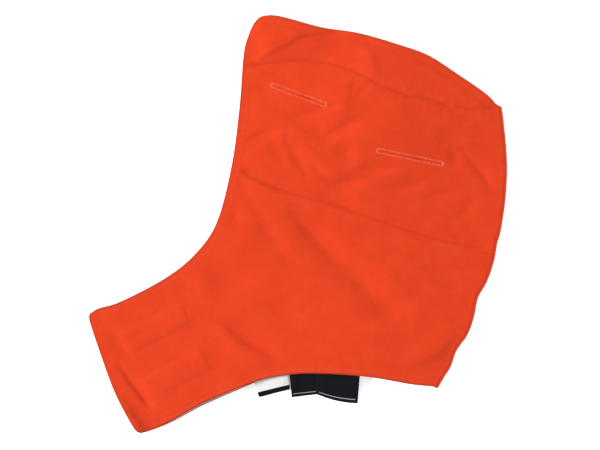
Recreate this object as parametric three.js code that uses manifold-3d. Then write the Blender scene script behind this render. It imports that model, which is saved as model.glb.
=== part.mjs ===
// Hard hat liner: a cloth hood with a chin flap, lying folded flat on its right side.
// Millimetres, +Z up, the lower side rests on z = 0. Left and right are as worn.
import * as THREE from "three";
import { mergeVertices } from "three/addons/utils/BufferGeometryUtils.js";
import Module from "manifold-3d";

const wasm = await Module();
wasm.setup();

// Cloth and gaps.
const SHELL = 1.2;
const LINING = 1.5;
const TAPE = 1.5;
const LABEL = 1.0;
const GAP = 0.3;
const SEAM_GAP = 0.5;
const WELD = 1e-3;

// The rolled fold along the crown and the back. The lining turns inside it, and the lower half is tucked in.
const FOLD_R = 4.6;
const FOLD_RISE = 25;
const LINING_INSET = 2;
const LINING_DEPTH = SHELL + GAP;
const ROLL_END = 0.06;
const TURN_END = 0.12;
const LOWER_TUCK = 0.75;

// At its ends the crown fold turns into the brow edge and into the back fold.
const FRONT_OUT = new THREE.Vector2(0.3, 0.95);
const FRONT_TURN = 0.08;
const CROWN_TURN = 0.85;

// Room between the shell and the lining for the folds; it closes towards the sewn edges.
const SAG = 3.2;
const DEEPEST_FOLD = 2.5;
const SAG_RISE = 15;
const FLAP_LIFT = 0.7;

// Where the flap leaves the hood: a point, the way to the hood, and the change's length above and below.
const ROOT = { x: -78, y: -100, dx: 0.8, dy: 0.6, run: 50, lowerRun: 110 };

// The lower flap shows past the upper one: by how much, around which x, over which half width,
// and from which share of the way to its edge it starts to move out.
const SLIVER = { past: 1.9, x: -84, wide: 42, from: 0.8 };

// Outlines in plan, x and y, from the face side to the back.
const FACE_EDGE = [
  [-51.5, 144.5],
  [-54.5, 104],
  [-61.5, 52.5],
  [-75, 1],
  [-94.5, -28],
  [-122, -50.5],
  [-164, -72.5],
  [-183.5, -78.5],
  [-190.5, -82.5],
];
const FLAP_END = [
  [-190.5, -82.5],
  [-192.5, -88.5],
  [-183.5, -116.5],
  [-170, -153.5],
  [-154.5, -183],
  [-147.5, -192],
];
const HEM = [
  [-139.5, -191.5],
  [-118, -182.5],
  [-89, -166],
  [-59.5, -153.5],
  [-30, -143],
  [-0.5, -138.5],
  [29, -138.5],
  [66, -141.5],
  [102.5, -148],
];
const BACK = [
  [187, 107.5],
  [189, 93],
  [192, 58],
  [191, 26],
  [186.5, -6],
  [183, -19],
  [180, -35.5],
  [173.5, -54],
  [165.5, -68.5],
  [161.5, -87],
  [155.5, -103],
  [145.5, -117.5],
  [140.5, -131.5],
  [135, -140.5],
  [128, -152.5],
];
const CROWN_LINE = [
  [-38, 189.5],
  [-31, 191.5],
  [-20.5, 191.5],
  [-6, 188],
  [21.5, 180.5],
  [54.5, 175.5],
  [88, 166],
  [119, 155],
  [146.5, 137.5],
  [172.5, 119.5],
  [182.5, 109.5],
  [187, 107.5],
];
const FRONT_EDGE = [
  [-51.5, 144.5],
  [-49.5, 161.5],
  [-45.5, 176.5],
  [-42.5, 181.5],
];
const SEAM = [
  [-51.5, 144.5],
  [-38, 145.5],
  [-8, 149.5],
  [20, 148.5],
  [44.5, 142],
  [68.5, 131],
  [93.5, 121],
  [112, 114.5],
  [135, 109.5],
  [148.5, 105.5],
  [167, 106],
];

// Fullness of the upper side: middle x, y, half widths in x, y, height.
const LOFT = [
  [75, 50, 115, 110, 8.5],
  [-50, 62, 60, 95, 4],
  [55, -112, 100, 62, 6.5],
];

// Folds of the upper side: start x, y, a point on the way x, y, end x, y,
// height (minus for a hollow), width on the left and on the right of that way.
const FOLDS = {
  packing_crease: [-54, 48, 63, 7.5, 182, -21, -2.4, 10, 5],
  crease_lip: [-50, 37, 66, -4, 178, -32, 1.1, 8, 12],
  crown_tuck: [-33, 150, -3, 168.5, 47, 175, -2.2, 7, 5],
  crown_roll: [-40, 150, 15, 157, 68, 139, 1.5, 7, 7],
  crown_notch: [66, 152, 71.5, 140, 71.5, 128, -2, 6, 7],
  slot_valley: [57.5, 136, 50, 120, 49, 100, -1.6, 7, 6],
  brow_crease: [-49, 75, -17, 89.5, 18, 102, -1.6, 8, 6],
  temple_fold: [-9.5, 88, -8, 67, 4, 38, -1.6, 6, 8],
  temple_hollow: [12, 72, 31, 41, 65, 47, -1.8, 9, 9],
  side_hollow: [74, 100, 84, 85, 98, 76, -1.4, 11, 11],
  back_fold: [150, 65, 164, 47, 181, 16, -1.8, 7, 6],
  slot_wrinkle: [62, 35, 118, 28, 156, 34, -1.3, 7, 6],
  long_drape: [-10, 11, 38, -35.5, 90, -96, -2.6, 13, 8],
  drape_ridge: [20, 1, 80, -47, 134, -74, 1.8, 10, 9],
  drape_hollow: [78, -78, 97, -91, 114, -93, -1.4, 11, 9],
  cheek_fold: [-43, 29, -21.5, -13.5, -2, -40, -1.5, 8, 8],
  flap_root: [-90, -38, -77, -60, -57, -81, -1.6, 9, 7],
  root_ridge: [-97, -46, -87, -66, -72, -86, 1.3, 7, 7],
  hem_fold: [-76, -94, -49, -112, -17, -130, -2.2, 8, 6],
  flap_curl: [-183, -108, -169, -140, -151, -174, 1.8, 7, 6],
  nape_fold: [92, -137, 123, -124, 147, -104, -1.5, 7, 6],
  back_wrinkle: [106, -43, 140, -41, 175, -37, -1.4, 6, 6],
};

// Strap slots: both ends x, y. Closure tapes: middle x, y; they share their size and turn.
const SLOT_WIDE = 1.6;
const SLOT_STEPS = 4;
const CUT_REACH = 40;
const SLOTS = [
  [-24, 127, 24.5, 108.5],
  [73, 66.5, 132, 54.5],
];
const TAPE_LONG = 63.5;
const TAPE_WIDE = 20.5;
const TAPE_TURN = 0.465;
const TAPES = {
  upper: [-132, -96.5],
  lower: [-113, -139],
};

// Labels: sewn end left x, y, right x, y, free end left x, y, right x, y.
const LABEL_DROP_FROM = 0.28;
const LABEL_CLEAR = 0.25;
const LABEL_UNDER = 0.9;
const LABELS = {
  white: [-43, -139, -9.4, -132.5, -36.5, -160.5, -7.8, -153],
  short: [-8.4, -132, 17.4, -131.5, -5.5, -160.5, 17.3, -157.6],
  long: [18.1, -131.5, 57, -132.5, 18.2, -157.8, 54.5, -166],
};

// How finely each piece is drawn.
const LEFT_CELLS = { along: 36, down: 31, roll: 3 };
const RIGHT_CELLS = { along: 20, down: 14, roll: 2 };
const CROWN_CELLS = { along: 20, left: 6, roll: 6, right: 1 };
const LINING_ROWS = [0, 0.12, 0.23, 0.34, 0.45, 0.55, 0.65, 0.75, 0.84, 0.92, 1];
const LINING_CELLS = { along: 22, roll: 2 };
const EDGE_CROWD = 0.06;
const LABEL_CELLS = { across: 3, down: 7 };
const FOLD_STEPS = 12;
const FOLD_FADE = 0.2;
const PATH_STEPS = 60;

const SHELL_COLOR = 0xe6472a;
const LINING_COLOR = 0xb9b2b0;
const TAPE_COLOR = 0xd8482c;
const WHITE_COLOR = 0xf2f1ee;
const BLACK_COLOR = 0x1b1a1a;
const CLOTH_ROUGHNESS = 0.9;

const smooth = THREE.MathUtils.smoothstep;
const lerp = THREE.MathUtils.lerp;
const spline = (rows) => new THREE.SplineCurve(rows.map(([x, y]) => new THREE.Vector2(x, y)));
const outward = (curve, t) => {
  const along = curve.getTangentAt(t);
  return new THREE.Vector2(-along.y, along.x);
};

// The fold runs over the crown and down the back: its middle line and the way out from it.
const backLine = spline(BACK);
const crownLine = spline(CROWN_LINE);
const backOut = (t) => outward(backLine, t);
const crownOut = (t) =>
  outward(crownLine, t)
    .lerp(FRONT_OUT, 1 - smooth(t, 0, FRONT_TURN))
    .lerp(backOut(0), smooth(t, CROWN_TURN, 1))
    .normalize();
const backMiddle = (t, inset = 0) =>
  backLine.getPointAt(t).addScaledVector(backOut(t), -FOLD_R - inset);
const crownMiddle = (t, inset = 0) =>
  crownLine.getPointAt(t).addScaledVector(crownOut(t), -FOLD_R - inset);
const crownShare =
  crownLine.getLength() / (crownLine.getLength() + backLine.getLength());
const foldMiddle = (t, inset) =>
  t < crownShare
    ? crownMiddle(t / crownShare, inset)
    : backMiddle((t - crownShare) / (1 - crownShare), inset);
const foldOut = (t) =>
  t < crownShare
    ? crownOut(t / crownShare)
    : backOut((t - crownShare) / (1 - crownShare));

// The open edges, each ending on the fold's middle line.
const faceEdge = spline(FACE_EDGE);
const frontEdge = spline([...FRONT_EDGE, crownMiddle(0).toArray()]);
const hemEdge = spline([...FLAP_END, ...HEM, backMiddle(1).toArray()]);
const seamEdge = spline([...SEAM, backMiddle(0).toArray()]);

const sampled = (curve, steps) =>
  Array.from({ length: steps + 1 }, (_, k) => curve(k / steps));
const foldPath = sampled((t) => foldMiddle(t, 0), PATH_STEPS);
const openPath = [
  ...sampled((t) => frontEdge.getPointAt(1 - t), FOLD_STEPS),
  ...sampled((t) => faceEdge.getPointAt(t), PATH_STEPS),
  ...sampled((t) => hemEdge.getPointAt(t), PATH_STEPS),
];

// The nearest place on a path: how far, how far along, and on which side.
function nearest(path, x, y) {
  let best = { far: Infinity, along: 0, side: 1 };
  for (let k = 0; k + 1 < path.length; k++) {
    const a = path[k];
    const dx = path[k + 1].x - a.x;
    const dy = path[k + 1].y - a.y;
    const length2 = dx * dx + dy * dy || WELD;
    const t = THREE.MathUtils.clamp(((x - a.x) * dx + (y - a.y) * dy) / length2, 0, 1);
    const far = Math.hypot(x - a.x - t * dx, y - a.y - t * dy);
    const side = dx * (y - a.y) - dy * (x - a.x);
    if (far < best.far) best = { far, along: (k + t) / (path.length - 1), side };
  }
  return best;
}

// Each fold as a path that fades at its ends.
const folds = Object.values(FOLDS).map(([x0, y0, xm, ym, x1, y1, height, left, right]) => {
  const bend = new THREE.Vector2(2 * xm - (x0 + x1) / 2, 2 * ym - (y0 + y1) / 2);
  const start = new THREE.Vector2(x0, y0);
  const end = new THREE.Vector2(x1, y1);
  const path = new THREE.QuadraticBezierCurve(start, bend, end).getPoints(FOLD_STEPS);
  return { path, height, left, right };
});

function foldsAt(x, y, sign) {
  let sum = 0;
  for (const { path, height, left, right } of folds) {
    if (Math.sign(height) !== sign) continue;
    const { far, along, side } = nearest(path, x, y);
    const wide = side > 0 ? left : right;
    const fade = smooth(along, 0, FOLD_FADE) * smooth(1 - along, 0, FOLD_FADE);
    sum += height * fade * Math.exp(-((far / wide) ** 2));
  }
  return sum;
}

// 0 on the flap, 1 on the hood.
const hoodShare = (x, y, run) =>
  smooth((x - ROOT.x) * ROOT.dx + (y - ROOT.y) * ROOT.dy, 0, run);

// How loose the cloth is at a place: 0 along the fold, the sewn edges and the flap.
const looseness = (x, y) =>
  smooth(nearest(foldPath, x, y).far, 0, FOLD_RISE) *
  smooth(nearest(openPath, x, y).far, 0, SAG_RISE) *
  hoodShare(x, y, ROOT.run);

// Height of the upper side without its folds' hollows.
function fullness(x, y) {
  const rise = smooth(nearest(foldPath, x, y).far, 0, FOLD_RISE);
  const loft = LOFT.reduce(
    (sum, [mx, my, wx, wy, high]) =>
      sum + high * Math.exp(-(((x - mx) / wx) ** 2) - ((y - my) / wy) ** 2),
    FLAP_LIFT,
  );
  return 2 * FOLD_R + rise * loft;
}

function upperTop(x, y) {
  const rise = smooth(nearest(foldPath, x, y).far, 0, FOLD_RISE);
  const hollow = Math.max(foldsAt(x, y, -1), -DEEPEST_FOLD);
  return fullness(x, y) + rise * foldsAt(x, y, 1) + looseness(x, y) * hollow;
}

const liningTop = (x, y) => fullness(x, y) - LINING_DEPTH - SAG * looseness(x, y);
const underLining = (x, y) => liningTop(x, y) - LINING - LABEL_UNDER;

// The lower side lies on the surface; its flap lies on the closure tapes.
const lowerBase = (x, y) => (TAPE + GAP) * (1 - hoodShare(x, y, ROOT.lowerRun));

// A surface between four edges that meet at their ends.
function coons(top, bottom, left, right) {
  const corners = [top(0), top(1), bottom(0), bottom(1)];
  return (u, v) => {
    const shares = [(1 - u) * (1 - v), u * (1 - v), (1 - u) * v, u * v];
    const place = top(u).multiplyScalar(1 - v);
    place.addScaledVector(bottom(u), v);
    place.addScaledVector(left(v), 1 - u);
    place.addScaledVector(right(v), u);
    corners.forEach((corner, k) => place.addScaledVector(corner, -shares[k]));
    return place;
  };
}

// A closed solid from its corners and triangles, turned to face out.
function solidFrom(spots, faces) {
  const loose = new THREE.BufferGeometry();
  loose.setAttribute("position", new THREE.Float32BufferAttribute(spots, 3));
  loose.setIndex(faces);
  const welded = mergeVertices(loose, WELD);
  const index = welded.index.array;
  const make = (turn) => {
    const kept = [];
    for (let k = 0; k < index.length; k += 3) {
      const [a, b, c] = turn
        ? [index[k], index[k + 2], index[k + 1]]
        : [index[k], index[k + 1], index[k + 2]];
      if (a !== b && b !== c && c !== a) kept.push(a, b, c);
    }
    return new wasm.Manifold(
      new wasm.Mesh({
        numProp: 3,
        vertProperties: welded.attributes.position.array,
        triVerts: new Uint32Array(kept),
      }),
    );
  };
  const solid = make(false);
  return solid.volume() > 0 ? solid : make(true);
}

// A sheet of cloth: place(i, j, depth) gives a corner at a depth below the outer face.
function sheet(place, columns, rows, outer, inner) {
  const spots = [];
  const faces = [];
  const at = (skin, i, j) => (skin * (rows + 1) + j) * (columns + 1) + i;
  const quad = (a, b, c, d) => faces.push(a, b, c, a, c, d);
  for (const depth of [outer, inner])
    for (let j = 0; j <= rows; j++)
      for (let i = 0; i <= columns; i++) spots.push(...place(i, j, depth));
  for (let j = 0; j < rows; j++)
    for (let i = 0; i < columns; i++) {
      quad(at(0, i, j), at(0, i, j + 1), at(0, i + 1, j + 1), at(0, i + 1, j));
      quad(at(1, i, j), at(1, i + 1, j), at(1, i + 1, j + 1), at(1, i, j + 1));
    }
  for (let i = 0; i < columns; i++) {
    quad(at(0, i, 0), at(0, i + 1, 0), at(1, i + 1, 0), at(1, i, 0));
    quad(at(0, i, rows), at(1, i, rows), at(1, i + 1, rows), at(0, i + 1, rows));
  }
  for (let j = 0; j < rows; j++) {
    quad(at(0, 0, j), at(1, 0, j), at(1, 0, j + 1), at(0, 0, j + 1));
    quad(at(0, columns, j), at(0, columns, j + 1), at(1, columns, j + 1), at(1, columns, j));
  }
  return solidFrom(spots, faces);
}

// A corner on the rolled fold at an angle above (or below) its middle height.
function onRoll(middle, out, depth, angle, tuck = 1) {
  const r = FOLD_R - depth;
  const reach = r * Math.cos(angle) * tuck;
  return [middle.x + out.x * reach, middle.y + out.y * reach, FOLD_R + r * Math.sin(angle)];
}

// How far the lower side shows past the upper one at its lower edge.
const sliver = (x, share) =>
  -SLIVER.past * Math.exp(-(((x - SLIVER.x) / SLIVER.wide) ** 2)) * smooth(share, SLIVER.from, 1);

const sidePlan = coons(
  (t) => seamEdge.getPointAt(t),
  (t) => hemEdge.getPointAt(t),
  (t) => faceEdge.getPointAt(t),
  (t) => backMiddle(t),
);

// A side panel with its flap, turned round the back fold by a quarter.
function sidePanel(cells, isLeft) {
  const place = (i, j, depth) => {
    const v = j / cells.down;
    const turn = Math.max(i - cells.along, 0) / cells.roll;
    if (turn > 0) {
      const angle = lerp(Math.PI / 2, ROLL_END, turn) * (isLeft ? 1 : -1);
      const [x, y, z] = onRoll(backMiddle(v), backOut(v), depth, angle, isLeft ? 1 : LOWER_TUCK);
      return [x, y - SEAM_GAP / 2, z];
    }
    const { x, y } = sidePlan(Math.min(i / cells.along, 1), v);
    const z = isLeft ? upperTop(x, y) - depth : lowerBase(x, y) + depth;
    const shift = isLeft ? 0 : sliver(x, v);
    return [x, y - SEAM_GAP / 2 + shift, z];
  };
  return sheet(place, cells.along + cells.roll, cells.down, 0, SHELL);
}

// The crown panel: from the left seam up to the fold, round it, and back to the right seam.
function crownPanel(cells) {
  const plan = coons(
    (t) => seamEdge.getPointAt(t),
    (t) => crownMiddle(t),
    (t) => frontEdge.getPointAt(t),
    () => backMiddle(0),
  );
  const place = (i, j, depth) => {
    const u = i / cells.along;
    const turn = (j - cells.left) / cells.roll;
    if (turn > 0 && turn < 1) {
      const angle = lerp(Math.PI / 2, -Math.PI / 2, turn);
      const [x, y, z] = onRoll(crownMiddle(u), crownOut(u), depth, angle);
      return [x, y + SEAM_GAP / 2, z];
    }
    const back = (j - cells.left - cells.roll) / cells.right;
    const { x, y } = plan(u, turn <= 0 ? j / cells.left : 1 - back);
    const z = turn <= 0 ? upperTop(x, y) - depth : depth;
    return [x, y + SEAM_GAP / 2, z];
  };
  const rows = cells.left + cells.roll + cells.right;
  return sheet(place, cells.along, rows, 0, SHELL);
}

// Half of the lining: from the flap's end to the fold, then a quarter turn round it.
const liningFront = spline([...FRONT_EDGE, crownMiddle(0, LINING_INSET).toArray()]);
const liningHem = spline([FLAP_END.at(-1), ...HEM, backMiddle(1, LINING_INSET).toArray()]);
const liningEnd = spline(FLAP_END);
const faceShare =
  faceEdge.getLength() / (faceEdge.getLength() + liningFront.getLength());
const liningPlan = coons(
  (t) => liningEnd.getPointAt(t),
  (t) => foldMiddle(t, LINING_INSET),
  (t) =>
    t < faceShare
      ? faceEdge.getPointAt(1 - t / faceShare)
      : liningFront.getPointAt((t - faceShare) / (1 - faceShare)),
  (t) => liningHem.getPointAt(t),
);

function liningHalf(cells, isLeft) {
  const flat = LINING_ROWS.length - 1;
  const place = (i, j, depth) => {
    const even = i / cells.along;
    const u = even - EDGE_CROWD * Math.sin(2 * Math.PI * even);
    const { x, y } = liningPlan(u, LINING_ROWS[Math.min(j, flat)]);
    if (j > flat) {
      const angle = lerp(Math.PI / 2, TURN_END, (j - flat) / cells.roll);
      return onRoll({ x, y }, foldOut(u), depth, angle * (isLeft ? 1 : -1));
    }
    return isLeft
      ? [x, y, liningTop(x, y) + LINING_DEPTH - depth]
      : [x, y + sliver(x, u), lowerBase(x, y) + depth];
  };
  return sheet(place, cells.along, flat + cells.roll, LINING_DEPTH, LINING_DEPTH + LINING);
}

// Closure tape: hooks under the upper flap, loops under the lower one.
function tape([mx, my], isHook) {
  const blank = new THREE.BoxGeometry(TAPE_LONG, TAPE_WIDE, TAPE);
  blank.rotateZ(TAPE_TURN);
  const hookTop = 2 * FOLD_R + FLAP_LIFT - LINING_DEPTH - LINING - GAP;
  blank.translate(mx, my, (isHook ? hookTop : TAPE) - TAPE / 2);
  return solidFrom(Array.from(blank.attributes.position.array), Array.from(blank.index.array));
}

// A label hangs from the inside of the hem down to just above the surface.
function label([x0, y0, x1, y1, x2, y2, x3, y3]) {
  const { across, down } = LABEL_CELLS;
  const place = (i, j, depth) => {
    const s = i / across;
    const w = j / down;
    const sewn = underLining(lerp(x0, x1, s), lerp(y0, y1, s));
    const drop = smooth(w, LABEL_DROP_FROM, 1);
    return [
      lerp(lerp(x0, x1, s), lerp(x2, x3, s), w),
      lerp(lerp(y0, y1, s), lerp(y2, y3, s), w),
      lerp(sewn, LABEL + LABEL_CLEAR, drop) - depth,
    ];
  };
  return sheet(place, across, down, 0, LABEL);
}

// Upright cutters for the strap slots, through every layer.
function slotCutter([x0, y0, x1, y1]) {
  const long = Math.hypot(x1 - x0, y1 - y0);
  const r = SLOT_WIDE / 2;
  const outline = new THREE.Shape();
  outline.moveTo(0, -r);
  outline.absarc(long, 0, r, -Math.PI / 2, Math.PI / 2);
  outline.absarc(0, 0, r, Math.PI / 2, (3 * Math.PI) / 2);
  const cutter = new THREE.ExtrudeGeometry(outline, {
    depth: 2 * CUT_REACH,
    bevelEnabled: false,
    curveSegments: SLOT_STEPS,
  });
  cutter.translate(0, 0, -CUT_REACH);
  cutter.rotateZ(Math.atan2(y1 - y0, x1 - x0));
  cutter.translate(x0, y0, 0);
  const spots = Array.from(cutter.attributes.position.array);
  return solidFrom(spots, Array.from(spots.keys()).slice(0, spots.length / 3));
}

const slots = wasm.Manifold.union(SLOTS.map(slotCutter));
const solids = [
  ["side_left", sidePanel(LEFT_CELLS, true).subtract(slots), SHELL_COLOR],
  ["side_right", sidePanel(RIGHT_CELLS, false).subtract(slots), SHELL_COLOR],
  ["crown", crownPanel(CROWN_CELLS), SHELL_COLOR],
  ["lining_left", liningHalf(LINING_CELLS, true).subtract(slots), LINING_COLOR],
  ["lining_right", liningHalf(LINING_CELLS, false).subtract(slots), LINING_COLOR],
  ["hook_strip_upper", tape(TAPES.upper, true), TAPE_COLOR],
  ["hook_strip_lower", tape(TAPES.lower, true), TAPE_COLOR],
  ["loop_strip_upper", tape(TAPES.upper, false), TAPE_COLOR],
  ["loop_strip_lower", tape(TAPES.lower, false), TAPE_COLOR],
  ["label_white", label(LABELS.white), WHITE_COLOR],
  ["label_short", label(LABELS.short), BLACK_COLOR],
  ["label_long", label(LABELS.long), BLACK_COLOR],
];

const group = new THREE.Group();
for (const [name, solid, color] of solids) {
  const { numProp, vertProperties, triVerts } = solid.getMesh();
  const geometry = new THREE.BufferGeometry();
  geometry.setAttribute("position", new THREE.BufferAttribute(vertProperties, numProp));
  geometry.setIndex(new THREE.BufferAttribute(triVerts, 1));
  const material = new THREE.MeshStandardMaterial({ color, roughness: CLOTH_ROUGHNESS });
  const mesh = new THREE.Mesh(geometry, material);
  mesh.name = name;
  group.add(mesh);
}

// The frame's origin is the middle of the box, on the surface.
const box = new THREE.Box3().setFromObject(group);
const middle = box.getCenter(new THREE.Vector3());
group.position.set(-middle.x, -middle.y, -box.min.z);

export default group;
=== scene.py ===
"""A cloth hard hat liner lying folded flat on its right side, seen from above."""

import math
from collections import namedtuple

import bmesh
import bpy
import numpy as np
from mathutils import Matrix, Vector


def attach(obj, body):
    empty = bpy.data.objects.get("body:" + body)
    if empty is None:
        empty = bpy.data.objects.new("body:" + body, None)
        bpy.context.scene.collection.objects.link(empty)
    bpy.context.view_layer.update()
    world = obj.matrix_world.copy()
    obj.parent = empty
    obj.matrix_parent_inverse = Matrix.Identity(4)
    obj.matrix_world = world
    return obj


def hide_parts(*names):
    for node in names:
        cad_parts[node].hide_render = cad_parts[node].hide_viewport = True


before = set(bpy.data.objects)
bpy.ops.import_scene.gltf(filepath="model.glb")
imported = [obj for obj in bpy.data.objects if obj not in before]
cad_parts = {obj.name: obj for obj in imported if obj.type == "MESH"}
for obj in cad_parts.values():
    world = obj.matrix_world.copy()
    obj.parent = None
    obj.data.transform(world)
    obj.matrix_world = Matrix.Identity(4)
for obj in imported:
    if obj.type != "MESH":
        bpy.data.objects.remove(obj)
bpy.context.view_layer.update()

# Tables are in millimetres in the pattern's own frame; SHIFT moves them to the row frame.
MM = 0.001
SHIFT = (0.302, 0.525, 0.0)

# Cloth thicknesses, and the room between two layers.
SHELL = 1.2
LINING = 1.5
TAPE = 1.5
LABEL = 0.6
GAP = 0.3

# The rolled fold over the crown and down the back: its radius, the lining's place in it, the
# angles where panels end on it, its way out at the front, and the shares where that turns.
FOLD_R = 4.6
LINING_INSET = 2
LINING_DEPTH = SHELL + GAP
NEAR_ROLL_END = -0.30
FAR_ROLL_END = -0.36
LINING_ROLL_END = 0.04
FRONT_OUT = (0.63, 0.78)
FRONT_TURN = 0.08
CROWN_TURN = 0.85

# How the layers lie: from ROOT on, along ROOT_WAY, the hood stands loose, and before it the
# flaps lie on each other.
LOFT_RISE = 110
FLAP_LIFT = 0.7
SAG = 3.2
SAG_FOLD_RISE = 25
SAG_EDGE_RISE = 15
DEEPEST_FOLD = 5.6
ROOT = (-78, -100)
ROOT_WAY = (0.8, 0.6)
UPPER_RUN = 50
LOWER_RUN = 110

# The strip of the lower side that shows past the flap's lower edge.
SLIVER_PAST = 2.3
SLIVER_X = -84
SLIVER_WIDE = 42
SLIVER_FROM = 0.8

# Outlines in plan, x and y.
FACE_EDGE = [
    (-51.5, 144.5), (-54.5, 104), (-61.5, 52.5), (-75, 1), (-94.5, -28),
    (-122, -50.5), (-164, -72.5), (-183.5, -78.5), (-190.5, -82.5),
]
FLAP_END = [
    (-190.5, -82.5), (-192.5, -88.5), (-183.5, -116.5), (-170, -153.5),
    (-154.5, -183), (-147.5, -192),
]
HEM = [
    (-139.5, -191.5), (-118, -182.5), (-89, -166), (-59.5, -153.5), (-30, -143),
    (-0.5, -138.5), (29, -138.5), (66, -141.5), (102.5, -148),
]
BACK = [
    (187, 107.5), (189, 93), (192, 58), (191, 26), (186.5, -6), (183, -19),
    (180, -35.5), (173.5, -54), (165.5, -68.5), (161.5, -87), (155.5, -103),
    (145.5, -117.5), (140.5, -131.5), (135, -140.5), (128, -152.5),
]
CROWN_LINE = [
    (-36.5, 189.5), (-31, 191.5), (-20.5, 191.5), (-6, 188), (21.5, 180.5),
    (54.5, 175.5), (88, 166), (119, 155), (146.5, 137.5), (172.5, 119.5),
    (182.5, 109.5), (187, 107.5),
]
FRONT_EDGE = [(-51.5, 144.5), (-49.5, 161.5), (-45, 175.5), (-41.5, 183)]
SEAM = [
    (-51.5, 144.5), (-38, 145.5), (-8, 149.5), (20, 148.5), (44.5, 142), (62, 134),
    (75, 127), (87, 122.5), (98, 118), (105.5, 115.5), (109.5, 116), (121, 113.5),
    (133, 109.5), (142.5, 105), (150, 106.5), (161, 105), (170, 106),
]

# Fullness of the upper side: middle x, y, half widths in x, y, height.
LOFT = [
    (70, 40, 125, 110, 6),
    (45, 95, 90, 60, 6),
    (-50, 50, 60, 115, 4),
    (105, -115, 115, 62, 6),
]

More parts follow.
